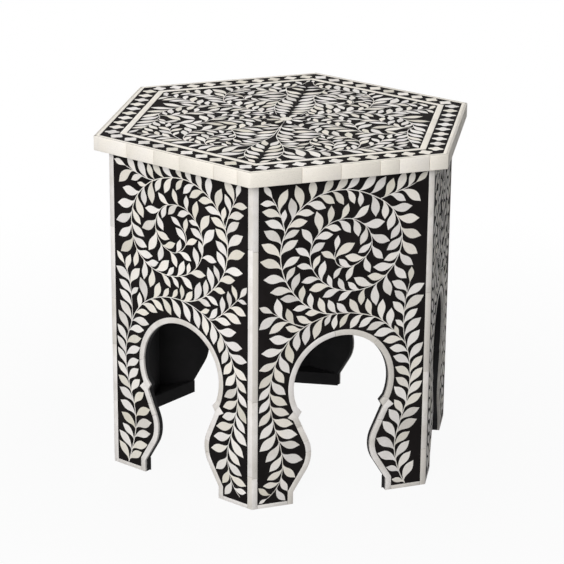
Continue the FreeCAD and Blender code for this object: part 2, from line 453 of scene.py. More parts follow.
def grain_place(along, across):
    """Places along and across the grain, and a number that is the piece's own."""
    along, across = np.broadcast_arrays(along * MM, across * MM)
    number = np.full(along.shape, tone_source.uniform(0, 5))
    return np.stack([along, across, number], axis=-1)


# %% Bars and strips
seam = 0.35
least_run = 0.3


def bar(pieces, carry, left, right, ease, thickness, proud=0.08, steps=2, mitre=(0, 0)):
    """One bar between two matched lines.

    The eased edge is a quarter round of the given steps. mitre is how far the left and the
    right side lean in at the bar's full depth. carry turns flat points and depths into places.
    """
    run = lengths_along((left + right) / 2)
    inner = run[(run > ease) & (run < run[-1] - ease)]
    end = ease * np.array([0.0, 0.3, 1.0])
    at = np.concatenate([end, inner, run[-1] - end[::-1]])
    drop = np.concatenate([end[::-1], 0 * inner, end])
    left, right = pick(left, run, at), pick(right, run, at)
    width = np.linalg.norm(left - right, axis=1)[:, None]
    turn = np.linspace(0, np.pi / 2, steps + 1)
    from_left, from_right = (
        np.concatenate([[lean], ease * (1 - np.cos(turn))]) / width for lean in mitre
    )
    share = np.concatenate([from_left, 1 - from_right[:, ::-1]], axis=1)
    below = np.concatenate([[-thickness], -ease * (1 - np.sin(turn))])
    level = np.concatenate([below, below[::-1]])
    flat = left[:, None] + (right - left)[:, None] * share[..., None]
    depth = np.where(level > -thickness, level - drop[:, None], level) + proud
    # 1 at the foot of the eased edge, where the bone finish paints shade
    edge = np.where(level < -0.5 * ease, 1.0, 0.0)
    tone = tone_source.uniform(0.4, 0.6)
    pieces.add(carry(flat, depth), tone, grain_place(at[:, None], share * width), edge)


def cut_strip(pieces, carry, left, right, cuts, **shape):
    """A strip cut at distances along it into bars with a seam between them."""
    run = lengths_along((left + right) / 2)
    ends = np.concatenate([[0.0], np.sort(cuts), [run[-1]]])
    for start, stop in zip(ends[:-1], ends[1:]):
        start = start + seam / 2 if start > 0 else start
        stop = stop - seam / 2 if stop < run[-1] else stop
        inner = run[(run > start + least_run) & (run < stop - least_run)]
        at = np.concatenate([[start], inner, [stop]])
        bar(pieces, carry, pick(left, run, at), pick(right, run, at), **shape)


def uneven_cuts(length, spacing):
    """Distances of the cuts in a strip of this length, about evenly spaced but not quite."""
    count = max(int(round(length / spacing)), 1)
    shares = np.arange(1, count) / count
    return length * (shares + tone_source.uniform(-0.35, 0.35, count - 1) / count)


def seam_cuts(length, shares, spacing):
    """Cuts at these shares of the length, or uneven ones where no shares are given."""
    return length * np.array(shares) if shares else uneven_cuts(length, spacing)


# %% [markdown]
# ## Edge of the top
# The slab's edge is faced with bone tiles as high as the slab. They meet at mitred corners and
# their outer edges are rounded by hand, so the light runs along them.

# %% Edge tiles
tile_shape = dict(ease=0.9, thickness=tile_thickness, proud=0.0, steps=3)
edge_seam_shares = {
    "front": (0.258, 0.454, 0.652, 0.749, 0.905),
    "front_left": (0.217, 0.395, 0.560, 0.774, 0.921),
}
top_half_side = top_apothem * side_share
for side, name in enumerate(SIDES):
    cuts = seam_cuts(2 * top_half_side, edge_seam_shares.get(name), 50.0)
    upper = level_line(-top_half_side, top_half_side, stool_height)
    lower = level_line(-top_half_side, top_half_side, body_height)
    tiles = Pieces()
    cut_strip(tiles, on_panel(side, top_apothem), upper, lower, cuts, **tile_shape)
    place(tiles, name + "_rim_bone", rim_bone, [name + "_edge_tiles"])

# %% [markdown]
# ## Strips and stars of the top
# Two rings of bone run round the top, one at the edge and one inside the band of stars. Each
# side of a ring is a bar whose ends are mitred, so its two edges have different lengths.

# %% Top strips
ring_shape = dict(ease=0.3, thickness=inlay_thickness)
corner_gap = 0.1


def top_ring(name, outer, inner, spacing, replaced):
    """A ring of bars between two apothems, mitred at the corners."""
    ring = Pieces()
    half_in = inner * side_share - corner_gap
    half_out = outer * side_share - corner_gap
    for side in range(len(SIDES)):
        inside = level_line(-half_in, half_in, -inner, 3)
        outside = level_line(-half_out, half_out, -outer, 3)
        cuts = uneven_cuts(2 * inner * side_share, spacing)
        cut_strip(ring, on_top(side), inside, outside, cuts, **ring_shape)
    place(ring, name, rim_bone, [replaced])


top_ring("top_edge_bone", core_apothem, band_outer_apothem, 60.0, "top_edge_strip")
top_ring("top_inner_bone", band_inner_apothem, field_apothem, 75.0, "top_inner_strip")

# %% [markdown]
# The stars are four-pointed plates. A star's outline is written in polar form: a circle whose
# radius grows and shrinks four times in a turn, and the power makes the points narrow. The
# plate is a stack of rings: the foot, the eased edge, and an inner ring on the face. Each star
# lies a little off its place and a little askew, as it does when it is laid by hand.

# %% Plates and the star's outline
star_length = 20.0
star_width = 18.5
star_waist = 6.7
star_power = 1.8


def plate(pieces, carry, outline, ease, proud=0.08):
    """A flat plate with an eased edge from its closed outline, as rings stacked upwards."""
    centre = outline.mean(axis=0)
    reach = np.linalg.norm(outline - centre, axis=1, keepdims=True)
    inner = centre + (outline - centre) * (1 - 1.3 * ease / reach)
    flat = np.stack([outline, outline, inner])
    levels = [[-inlay_thickness / 2], [proud - ease], [proud]]
    place_there = carry(flat, np.broadcast_to(levels, flat.shape[:2]))
    tone = tone_source.uniform(0, 1)
    grain = grain_place(flat[..., 0], flat[..., 1])
    # the foot rings carry the edge mark, where the bone finish paints shade
    pieces.add(place_there, tone, grain, np.array([[1.0], [1.0], [0.0]]))


def star_outline(count=32):
    """Radius = waist + (point - waist) * |cos(2 * angle)| ** power, longer across the band."""
    angle = np.linspace(0, 2 * np.pi, count, endpoint=False)
    point = np.hypot(star_width / 2 * np.cos(angle), star_length / 2 * np.sin(angle))
    swell = np.abs(np.cos(2 * angle)) ** star_power
    return on_circle(star_waist + (point - star_waist) * swell, angle)


# %% Stars of the border band
stars_per_side = 10
stars = Pieces()
band_middle = (band_outer_apothem + band_inner_apothem) / 2
pitch = 2 * band_middle * side_share / stars_per_side
for side in range(len(SIDES)):
    for count in range(stars_per_side):
        middle = np.array([(count + 0.5 - stars_per_side / 2) * pitch, -band_middle])
        middle += tone_source.uniform(-0.4, 0.4, 2)
        tilt = np.radians(tone_source.uniform(-3, 3))
        plate(stars, on_top(side), middle + turned(star_outline(), tilt), 0.25)
place(stars, "top_star_bone", leaf_bone, ["top_border_stars"])

# %% [markdown]
# ## Corner strips and arch borders
# Where two sides meet, each carries an upright strip, and the two are mitred so that the
# corner is all bone. The keyhole arch has a border of the same width. Its inner edge is the
# opening: a straight foot, a slope, a bulge, a shoulder, a small cusp and a round crown. The
# outer edge is the same line further out, so both are worked out by one function.

# %% Corner strips
strip_shape = dict(ease=0.35, thickness=inlay_thickness, proud=0.05)
corner_seam_shares = {
    1: (0.121, 0.371, 0.619),
    6: (0.104, 0.345, 0.803),
}
mitre = inlay_thickness * side_share


def upright(u):
    """A straight line from the floor to the top of the sides at this u."""
    return level_line(0.0, body_height, u, 3)[:, ::-1]


for corner in range(1, len(SIDES) + 1):
    strips = Pieces()
    cuts = seam_cuts(body_height, corner_seam_shares.get(corner), 95.0)
    for side, left, right, lean in (
        (corner - 1, ground_half_width, panel_half_width, (0, mitre)),
        (corner, -panel_half_width, -ground_half_width, (mitre, 0)),
    ):
        moved_cuts = cuts + tone_source.uniform(-3, 3)
        edges = upright(left), upright(right)
        cut_strip(strips, on_panel(side), *edges, moved_cuts, mitre=lean, **strip_shape)
    node = "corner_strip_" + str(corner)
    place(strips, node + "_bone", strip_bone, [node])

# %% Sizes of the arch
border_width = 7.5
horseshoe_radius = 64.5
horseshoe_height = 157.5
foot_half_opening = 64.0
foot_corner_height = 16.5
bulge_half_opening = 40.0
bulge_height = 68.0
bulge_radius = 45.0
shoulder_half_opening = 58.0
shoulder_height = 118.0
cusp_in = np.array([53.5, 125.5])
spring_in_height = 132.5
cusp_out_reach = 7.0
cusp_out_height = 119.5
spring_out_height = 127.0
bulge_middle = bulge_half_opening + bulge_radius
flip = np.array([-1.0, 1.0])
print("arch:", 2 * foot_half_opening, "by", horseshoe_height + horseshoe_radius, "mm")


# %% The arch's outline
def bulge_angles():
    """Angles at which the bulge's arc meets the straight runs below and above it."""
    across = np.array([bulge_middle - foot_half_opening, bulge_middle - shoulder_half_opening])
    rise = np.array([bulge_height - foot_corner_height, shoulder_height - bulge_height])
    return np.arctan2(rise, across) - np.arccos(bulge_radius / np.hypot(across, rise))


def leg_line(grow, count=14):
    """The leg's edge from the floor to the shoulder: foot, slope, arc of the bulge, slope."""
    down, up = bulge_angles()
    angle = np.pi - np.linspace(-down, up, count)
    arc = on_circle(bulge_radius - grow, angle, (bulge_middle, bulge_height))
    foot_u = foot_half_opening + grow
    foot = [[foot_u, 0.0], [foot_u, foot_corner_height + grow * np.tan(down / 2)]]
    shoulder = [[shoulder_half_opening + grow * np.cos(up), shoulder_height - grow * np.sin(up)]]
    return np.concatenate([foot, arc, shoulder])


def round_line(grow, spring_height, count=72):
    """The crown's edge, a circle from the right spring over the top to the left spring."""
    radius = horseshoe_radius + grow
    spring = np.arcsin((spring_height - horseshoe_height) / radius)
    return on_circle(radius, np.linspace(spring, np.pi - spring, count), (0.0, horseshoe_height))


# %% [markdown]
# The border is three strips: the crown with the two inner cusps, and the two legs with the
# outer cusps. They meet on a slanting seam from the inner shoulder to the outer spring. A
# strip's two edges need the same number of points, so the edge that has no cusp gets a few
# more beside the one that the other has. The cuts inside the strips are where the joints lie
# on the two sides that face the reader, and the other sides have their own.

# %% Edges of the three strips
def crown_edges():
    """Both edges of the crown strip, from the right cusp to the left one."""
    inner = round_line(0.0, spring_in_height)
    outer = round_line(border_width, spring_out_height)
    first = np.array([[shoulder_half_opening, shoulder_height], cusp_in])
    inner = np.concatenate([first, inner, (first * flip)[::-1]])
    first = outer[0] + (outer[1] - outer[0]) * np.array([[0.0], [0.25], [0.625]])
    outer = np.concatenate([first, outer[1:-1], (first * flip)[::-1]])
    return inner, outer


def leg_edges():
    """Both edges of the right leg's strip, from the floor to the outer spring."""
    inner = leg_line(0.0)
    last = inner[-1] - (inner[-1] - inner[-2]) * np.array([[0.06], [0.03], [0.0]])
    cusp = np.array([shoulder_half_opening + border_width + cusp_out_reach, cusp_out_height])
    spring = round_line(border_width, spring_out_height)[0]
    outer = np.concatenate([leg_line(border_width), [cusp, spring]])
    return np.concatenate([inner[:-1], last]), outer


def mirrored(left, right):
    """A strip's two edges on the other side, swapped so that the strip still faces outwards."""
    return right * flip, left * flip


# %% Arch borders
border_seams = {
    "front": {"crown": (98, 48, -24), "right": (100,), "left": (105, 84, 69)},
    "front_left": {"crown": (139, 180, -20), "right": (75, 59), "left": (100, 85)},
}


def crown_angle(line):
    """Angle of each point round the crown's middle, in degrees."""
    return np.degrees(np.unwrap(np.arctan2(line[:, 1] - horseshoe_height, line[:, 0])))


def height_of(line):
    """Height of each point above the floor, in millimetres."""
    return line[:, 1]


def cuts_where(left, right, measure, values):
    """Distances along a strip where a measure of its middle line has these values."""
    middle = (left + right) / 2
    return np.interp(values, measure(middle), lengths_along(middle))


for side, name in enumerate(SIDES):
    seams_here = border_seams.get(name) or {
        "crown": tone_source.choice((-20, 12, 45, 80, 110, 142, 185), 3, replace=False),
        "right": tone_source.uniform(40, 105, 2),
        "left": tone_source.uniform(40, 105, 2),
    }
    border = Pieces()
    crown = crown_edges()
    cuts = cuts_where(*crown, crown_angle, seams_here["crown"])
    cut_strip(border, on_panel(side), *crown, cuts, **strip_shape)
    for way, leg, leg_name in ((1, leg_edges(), "right"), (-1, mirrored(*leg_edges()), "left")):
        cuts = cuts_where(*leg, height_of, seams_here[leg_name])
        cut_strip(border, on_panel(side), *leg, cuts, **strip_shape)
        start = foot_half_opening + border_width + seam
        ends = np.sort([way * start, way * (ground_half_width - seam)])
        upper, lower = level_line(*ends, foot_strip_height), level_line(*ends, 0.0)
        bar(border, on_panel(side), upper, lower, **strip_shape)
    place(border, name + "_arch_bone", strip_bone, [name + "_arch_border"])

# %% [markdown]
# ## Winding stems and leaves
# The leaves are the stool's real work. Each design starts from a few curved stems, drawn as
# points. Leaves stand along a stem in turn on its two sides. A leaf leaves the stem
# almost along it and bends away, thin at first, widest past its middle, and it ends in a
# point. A carver makes each leaf as large as its place allows. The script does the same: it
# starts with tiny leaves and lets them grow step by step until they come too close to a
# neighbour, a stem or the border. A leaf that is stuck may lean or bend a little.

# %% Stems of the sides
front_stems = {
    "right_leg": ((91, 6), (83, 22), (77, 42), (75, 66), (82, 96), (91, 124), (94, 149), (92, 181),
        (85, 208), (83, 232), (85, 257), (90, 281)),
    "over_arch": ((86, 201), (72, 218), (50, 238), (24, 248), (-9, 251.6), (-38, 245), (-64, 230),
        (-82, 209), (-93, 182), (-97, 152), (-91, 113), (-81, 77), (-79, 50), (-84, 30),
        (-99, 13)),
    "spiral": ((-9, 251.6), (-33, 257), (-59, 276), (-79, 308), (-83, 345), (-67, 383), (-36, 407),
        (0, 412.5), (34, 403), (64, 382), (78, 347), (70, 312), (46, 287), (12, 279.7),
        (-22, 291), (-43, 318), (-42, 346), (-22, 369), (8, 374.5), (32, 359), (37, 335),
        (22, 317), (5, 311.5), (-8, 316), (-12, 325), (-11.5, 333)),
    "upper_left": ((-78, 362), (-82, 382), (-88, 397), (-94, 409)),
    "upper_right": ((47, 396), (66, 402), (82, 407), (94, 412)),
    "middle_left": ((-51, 239), (-66, 245), (-80, 253), (-92, 261)),
}
front_left_stems = {
    "left_leg": ((-94, 6), (-87, 28), (-80, 60), (-82, 89), (-91, 120), (-96, 150), (-93, 182),
        (-84, 209), (-84, 236), (-88, 265), (-95, 281)),
    "over_arch": ((-84, 208), (-66, 234), (-38, 250), (0, 255), (36, 246), (65, 228), (84, 200),
        (95, 166), (95, 133), (86, 96), (79, 70), (81, 46), (88, 26), (100, 12)),
    "spiral": ((0, 255), (28, 261), (55, 281), (74, 308), (79.6, 341), (72, 374), (49, 400),
        (17, 414), (-18, 412.5), (-52, 399), (-76, 372), (-82.5, 340), (-74, 308),
        (-49, 288), (-12, 284), (22, 298), (38.5, 325), (34, 355), (7, 378), (-28, 372.5),
        (-41, 348), (-33, 325), (-12, 315.5), (3, 321), (10, 330), (11, 341),
        (4, 351)),
    "upper_right": ((76, 366), (82, 384), (88, 397), (93, 407)),
    "upper_left": ((-40, 404.8), (-54, 404.5), (-71, 408.5), (-90, 414)),
    "middle_right": ((45, 241.5), (55, 241), (64, 247), (78, 259), (98, 279)),
}
print("stems of the two designs:", len(front_stems), "and", len(front_left_stems))

# %% [markdown]
# The top's design is the same on its left and right, so only the right half is drawn, with a
# corner of the top towards the reader. It is mirrored and then turned by half a side to lie
# in the frame.

# %% Stems of the top, right half
top_stems = {
    "axis": ((0, -10), (0, -28), (1, -53), (3, -90), (10, -112), (17, -130), (23, -155),
        (22, -178), (16, -196)),
    "front_edge": ((14, -122), (30, -141), (55, -146), (82, -143), (110, -129), (130, -118),
        (152, -109), (174, -106)),
    "front_hook": ((104, -134), (111, -120), (112, -105), (108, -90), (98, -79), (84, -73),
        (66, -70), (50, -59), (38, -48), (26, -38), (15, -27)),
    "front_twig": ((60, -66), (53, -82), (48, -99), (50, -113), (58, -127)),
    "side_bough": ((165, -40), (148, -48), (130, -51), (113, -49), (99, -42), (84, -33),
        (69, -22), (54, -13), (36, -7), (22, -4)),
    "front_inner_twig": ((76, -144), (82, -128), (80, -111), (72, -97)),
    "front_side_twig": ((112, -127), (124, -112), (133, -96), (137, -78)),
    "side_hook": ((106, -46), (98, -31), (91, -14), (80, 2), (66, 11), (50, 14)),
    "sweep": ((20, 14), (36, 28), (56, 38), (80, 45), (104, 48), (126, 45), (146, 34),
        (158, 18), (168, -7), (163, -25), (165, -47), (168, -66), (175, -87)),
    "inner_twig": ((166, -14), (151, -13), (137, -5), (127, 8), (115, 16), (101, 15)),
    "sweep_twig": ((122, 46), (135, 61), (148, 72), (165, 81), (184, 90)),
    "back_bough": ((55, 38), (74, 54), (90, 64), (98, 78), (101, 100), (100, 118), (94, 134),
        (86, 150)),
    "back_side_twig": ((101, 93), (118, 101), (135, 107), (152, 111), (168, 114)),
    "back_edge": ((96, 130), (83, 148), (64, 159), (44, 165), (22, 166)),
    "back_corner": ((34, 166), (19, 173), (10, 185), (5, 199)),
    "back_column": ((27, 163), (23, 142), (18, 124), (21, 104), (26, 86), (26, 68), (24, 52),
        (20, 34), (16, 21)),
    "back_band": ((27, 95), (43, 86), (58, 84), (71, 91), (75, 104), (67, 114)),
    "back_twig": ((19, 122), (34, 137), (52, 143), (70, 138)),
}
print("stems of half the top:", len(top_stems))


# %% Curves through points
samples_per_point = 60
least_samples = 8


def smooth_path(points, step=1.0):
    """A curve through the points, sampled evenly.

    Each point gets the slope of the parabola through it and its neighbours, and cubic
    pieces that match these slopes join them.
    """
    p = np.asarray(points, float)
    t = np.concatenate([[0.0], np.cumsum(np.sqrt(np.linalg.norm(np.diff(p, axis=0), axis=1)))])
    h = np.diff(t)[:, None]
    chord = np.diff(p, axis=0) / h
    slope = np.zeros_like(p)
    slope[1:-1] = (chord[:-1] * h[1:] + chord[1:] * h[:-1]) / (h[:-1] + h[1:])
    slope[0] = 2 * chord[0] - slope[1]
    slope[-1] = 2 * chord[-1] - slope[-2]
    fine = np.linspace(0, t[-1], samples_per_point * len(p))
    k = np.clip(np.searchsorted(t, fine, side="right") - 1, 0, len(p) - 2)
    x = ((fine - t[k]) / (t[k + 1] - t[k]))[:, None]
    curve = (2 * x**3 - 3 * x**2 + 1) * p[k] + (x**3 - 2 * x**2 + x) * h[k] * slope[k]
    curve = curve + (3 * x**2 - 2 * x**3) * p[k + 1] + (x**3 - x**2) * h[k] * slope[k + 1]
    run = lengths_along(curve)
    return pick(curve, run, np.linspace(0, run[-1], max(int(run[-1] / step), least_samples)))


# %% [markdown]
# Before leaves can grow, each needs to know how much room it has. For a side that is the
# distance to the strips and to the arch's border, and for the top it is the distance to the
# inner strip, to the flower in the middle and to the line where the mirrored half begins.

# %% Room for a leaf
right_half_of_crown = slice(1, 36)
rim_spacing = 2.5
arch_half = np.concatenate(
    [leg_edges()[1], round_line(border_width, spring_out_height)[right_half_of_crown]]
)
arch_run = lengths_along(arch_half)
arch_rim = pick(arch_half, arch_run, np.arange(0, arch_run[-1], rim_spacing))
rim_u, rim_z = arch_half[np.argsort(arch_half[:, 1])].T
crown_top = horseshoe_height + horseshoe_radius + border_width
petal_reach = 26.0
axis_stem_length = 108.0
past_stem, past_line = 1.5, 0.3  # how far a leaf may reach over the mirror line
print("each half of an arch's outer edge is", arch_run[-1].round(1), "mm long")


def room_on_side(points):
    """Distance to the nearest strip or border of a side, negative outside the ground."""
    u, z = np.abs(points[..., 0]), points[..., 1]
    to_strips = np.minimum.reduce([ground_half_width - u, z - foot_strip_height, body_height - z])
    gap = np.stack([u, z], axis=-1)[..., None, :] - arch_rim
    to_arch = np.sqrt((gap**2).sum(axis=-1)).min(axis=-1)
    edge_u = np.where(z > crown_top, 0.0, np.interp(z, rim_z, rim_u, right=0.0))
    return np.minimum(to_strips, np.where(u > edge_u, to_arch, -to_arch))


def room_on_top(points):
    """Distance to the strip round the field, the flower, or the mirror line."""
    angle = np.radians(np.arange(0, 360, 60))
    across = points @ np.stack([np.cos(angle), np.sin(angle)])
    to_strip = field_apothem - across.max(axis=-1)
    to_flower = np.linalg.norm(points, axis=-1) - petal_reach
    on_axis = (points[..., 1] < 0) & (points[..., 1] > -axis_stem_length)
    to_mirror = points[..., 0] + np.where(on_axis, past_stem, past_line)
    return np.minimum.reduce([to_strip, to_flower, to_mirror])


# %% The shape of a leaf
leaf_stations = 11
share_along = np.linspace(0, 1, leaf_stations)
swell, taper = 1.95, 1.25
widest = swell / (swell + taper)
stalk_share = 0.07
print("a leaf is widest at", round(widest, 2), "of its length")


def leaf_width(s):
    """Width over the greatest width: s**swell * (1 - s)**taper, scaled to 1, plus a stalk."""
    body = s**swell * (1 - s) ** taper
    return body / (widest**swell * (1 - widest) ** taper) + stalk_share * (1 - s) ** 2


def leaf_turn(s):
    """Share of a leaf's bend that is done at s: quick near the stem, a little back at the tip."""
    return 1 - (1 - s) ** 2.6 - 0.14 * s**3


def leaf_edges(leaf):
    """The leaf's middle line and its half widths, as points and sideways steps.

    The middle line is the running sum of its headings, which turn away from the stem.
    """
    turn = leaf["heading"] + leaf["side"] * (leaf["lean"] + leaf["bend"] * leaf_turn(share_along))
    step = np.stack([np.cos(turn), np.sin(turn)], axis=-1)
    middle = np.zeros((leaf_stations, 2))
    middle[1:] = np.cumsum((step[1:] + step[:-1]) / 2, axis=0) / (leaf_stations - 1)
    half = 0.5 * leaf["share"] * leaf["length"] * leaf_width(share_along)
    sideways = np.stack([-step[:, 1], step[:, 0]], axis=-1) * half[:, None]
    return leaf["base"] + leaf["length"] * middle, sideways


def leaf_outline(leaf):
    """Points round the leaf without the stalk, which may touch its stem and its neighbours."""
    middle, sideways = leaf_edges(leaf)
    return np.concatenate([(middle + sideways)[2:], (middle - sideways)[2:-1]])


# %% [markdown]
# A place for a leaf holds all that the leaf needs to grow: its base on the stem, its heading,
# how far it may lean and bend, the greatest length that it may reach, and the stems close by.
# The places on the hollow side of a bend are spaced along a line beside the stem, so that the
# leaves' bodies, and not their stalks, are evenly spaced.

# %% Places for leaves
beside = 8.0  # distance of that line from the stem
run_together = 3.5  # a leaf may touch another stem that runs as close as this to its own
own_reach = 26.0  # and its own stem, as far along it as this
smoothing = 8  # points on either side over which a stem's direction is averaged
first_leaf = 4.0  # distances from the stem's start and from its tip
last_leaf = 5.0
sprout_share = 0.2  # of the longest leaf: the length at first
stem_reach = 1.3  # of the longest leaf: how far off a stem may matter


def stem_places(path, pitch, starts, source):
    """Distance along the stem, side and kind of each leaf: a bud at the tip, and two rows."""
    run = lengths_along(path)
    tangent = np.gradient(path, axis=0)
    angle = np.unwrap(np.arctan2(tangent[:, 1], tangent[:, 0]))
    padded = np.pad(angle, smoothing, mode="reflect", reflect_type="odd")
    width = 2 * smoothing + 1
    bending = np.gradient(np.convolve(padded, np.ones(width) / width, "valid"), run)
    places = [(run[-1], 1, True)]
    for way, begin in zip((1, -1), starts):
        scale = np.clip(1 - way * bending * beside, 0.4, 1.0)
        along = np.concatenate([[0.0], np.cumsum((scale[1:] + scale[:-1]) / 2 * np.diff(run))])
        steps = np.arange(np.interp(begin, run, along), along[-1] - last_leaf, pitch)
        jitter = source.uniform(-0.04, 0.04, len(steps)) * pitch
        places += [(x, way, False) for x in np.interp(steps + jitter, along, run)]
    return run, angle, places


def leaf_places(stems, pitch, longest, share, starts, source):
    """One small leaf at every place along the stems, and one at each tip."""
    paths = {name: smooth_path(points) for name, points in stems.items()}
    leaves = []
    for name, path in paths.items():
        others = np.concatenate([other for label, other in paths.items() if label != name])
        apart = np.linalg.norm(others[:, None] - path[None, ::2], axis=2).min(axis=1)
        others = others[apart > run_together]
        usual = (first_leaf, first_leaf + pitch / 2)
        run, angle, places = stem_places(path, pitch, starts.get(name, usual), source)
        for x, way, bud in places:
            base = pick(path, run, np.array([x]))[0]
            lines = np.concatenate([path[np.abs(run - x) > own_reach], others])[::2]
            leaves.append(
                {
                    "base": base,
                    "heading": np.interp(x, run, angle),
                    "side": way,
                    "lean": np.radians(source.uniform(-6, 6) if bud else source.uniform(8, 16)),
                    "bend": np.radians(8 if bud else source.uniform(44, 56)),
                    "leans": np.radians((-25, 25) if bud else (2, 44)),
                    "bends": np.radians((0, 20) if bud else (20, 64)),
                    "length": sprout_share * longest,
                    "cap": longest * (0.66 if bud else source.uniform(0.93, 1.05)),
                    "share": share * source.uniform(0.95, 1.08),
                    "stems": lines[np.linalg.norm(lines - base, axis=1) < stem_reach * longest],
                }
            )
    return leaves


# %% [markdown]
# A bed keeps the leaves of one design together, because each leaf has to know where its
# neighbours are. It tests all the points of a leaf and of its neighbours at once. Where a leaf
# has no room for its new length, it tries to lean or to bend a little, and else it stays as it
# was.

# %% A bed of leaves
growth = 1.09  # each step makes a leaf this many times as long
leaf_reach = 1.9  # of the longest leaf: how far off another leaf may matter
small_gap_share = 0.1  # small leaves may stand closer, at this share of their length
adjustments = np.radians(((0, 0), (4, 0), (-4, 0), (0, -8), (8, 0), (-8, 0), (-4, -10), (4, 8)))


def nearest(points, others):
    """Least distance between two sets of points."""
    return np.sqrt(((points[:, None] - others[None]) ** 2).sum(axis=-1).min())


class Bed:
    """The leaves of one design, their outlines, and which of them are alive."""

    def __init__(self, leaves, room, longest, leaf_gap, stem_gap, border_gap):
        self.leaves, self.room = leaves, room
        self.leaf_gap, self.stem_gap, self.border_gap = leaf_gap, stem_gap, border_gap
        self.outlines = np.zeros((len(leaves), *leaf_outline(leaves[0]).shape))
        self.alive = np.zeros(len(leaves), bool)
        bases = np.array([leaf["base"] for leaf in leaves])
        for number, leaf in enumerate(leaves):
            near = np.linalg.norm(bases - leaf["base"], axis=1) < leaf_reach * longest
            near[number] = False
            leaf["near"] = np.flatnonzero(near)

    def is_clear(self, leaf, outline):
        """Whether a leaf keeps its distance from the border, the stems and the other leaves."""
        if self.room(outline).min() < self.border_gap:
            return False
        if len(leaf["stems"]) and nearest(outline, leaf["stems"]) < self.stem_gap:
            return False
        close = self.outlines[leaf["near"][self.alive[leaf["near"]]]].reshape(-1, 2)
        gap = min(self.leaf_gap, small_gap_share * leaf["length"])
        return not len(close) or nearest(outline, close) > gap

    def try_length(self, number, length):
        """Gives a leaf this length, leaning or bending it a little where that helps."""
        leaf = self.leaves[number]
        for lean, bend in adjustments:
            trial = dict(
                leaf,
                lean=np.clip(leaf["lean"] + lean, *leaf["leans"]),
                bend=np.clip(leaf["bend"] + bend, *leaf["bends"]),
                length=length,
            )
            outline = leaf_outline(trial)
            if self.is_clear(trial, outline):
                self.leaves[number] = trial
                self.outlines[number] = outline
                return True
        return False

    def grow(self, active, source):
        """One step of growth in random order, and the leaves that may grow on."""
        growing = []
        for number in source.permutation(active):
            cap = self.leaves[number]["cap"]
            length = min(self.leaves[number]["length"] * growth, cap)
            if self.try_length(number, length) and length < cap:
                growing.append(number)
        return growing


# %% [markdown]
# The growing has three seasons. After the first, leaves that found no room fall, and the
# others may grow into their places. Before the third, late leaves are tried in the places that
# are still empty.

# %% Let the leaves grow
season_steps = (12, 14, 6)
late_share = 0.66  # lengths as shares of the longest leaf
fallen_share = 0.38
least_share = 0.34
empty_share = 0.2  # an empty place is this far from all the leaves


def plant_late(bed, numbers, longest):
    """Leaves that start near their full length, where their middles lie in empty places."""
    for number in numbers:
        late = dict(bed.leaves[number], length=late_share * longest)
        middle = leaf_outline(late).mean(axis=0)
        if nearest(middle[None], bed.outlines[bed.alive].reshape(-1, 2)) > empty_share * longest:
            bed.alive[number] = bed.try_length(number, late["length"])


def grow_leaves(stems, room, seed, pitch, longest, share, leaf_gap, stem_gap, border_gap, starts):
    """Leaves along the stems, each as large as its place allows."""
    source = np.random.default_rng(seed)
    leaves = leaf_places(stems, pitch, longest, share, starts, source)
    regular = len(leaves)
    leaves += leaf_places(stems, pitch / 4, longest, share, {}, source)
    bed = Bed(leaves, room, longest, leaf_gap, stem_gap, border_gap)
    for number in range(regular):
        bed.alive[number] = bed.try_length(number, leaves[number]["length"])
    for season, steps in enumerate(season_steps):
        if season == 1:
            bed.alive &= np.array([leaf["length"] > fallen_share * longest for leaf in leaves])
        if season == 2:
            plant_late(bed, regular + source.permutation(len(leaves) - regular), longest)
        active = np.flatnonzero(bed.alive)
        for _ in range(steps):
            active = bed.grow(active, source)
            if not active:
                break
    long_enough = [leaf["length"] > least_share * longest for leaf in leaves]
    return [leaf for leaf, kept in zip(leaves, bed.alive & long_enough) if kept]


# %% Grow the three designs
side_habit = dict(
    pitch=16.5, longest=33.0, share=0.375, leaf_gap=2.3, stem_gap=2.0, border_gap=1.0
)
top_habit = dict(
    pitch=16.0, longest=37.0, share=0.33, leaf_gap=2.1, stem_gap=1.6, border_gap=0.8
)
leg_starts = {"right_leg": (1.0, 3.0), "left_leg": (1.0, 3.0)}
axis_starts = {"axis": (15.0, 99.0)}
side_designs = [
    (stems, grow_leaves(stems, room_on_side, seed, starts=leg_starts, **side_habit))
    for stems, seed in ((front_stems, 1), (front_left_stems, 4))
]
top_leaves = grow_leaves(top_stems, room_on_top, 2, starts=axis_starts, **top_habit)
print("leaves:", [len(leaves) for _, leaves in side_designs], "half the top:", len(top_leaves))

# %% [markdown]
# A leaf is laid into the resin with its face a hair above it. Its ring runs from the buried
# left foot over the softened left edge, the middle and the right edge to the right foot. The
# tip and the stalk are drawn together to almost nothing and closed.

# %% Lay leaves and stems
sunk = 0.6
proud = 0.12
softness = 0.3
tip_share = 0.02  # the tip's width, as a share of the width one station before it
stem_width, stem_tip_width = 1.5, 1.0
stem_step = 2.5
stem_shape = dict(ease=0.2, thickness=sunk, proud=proud - 0.02, steps=1)


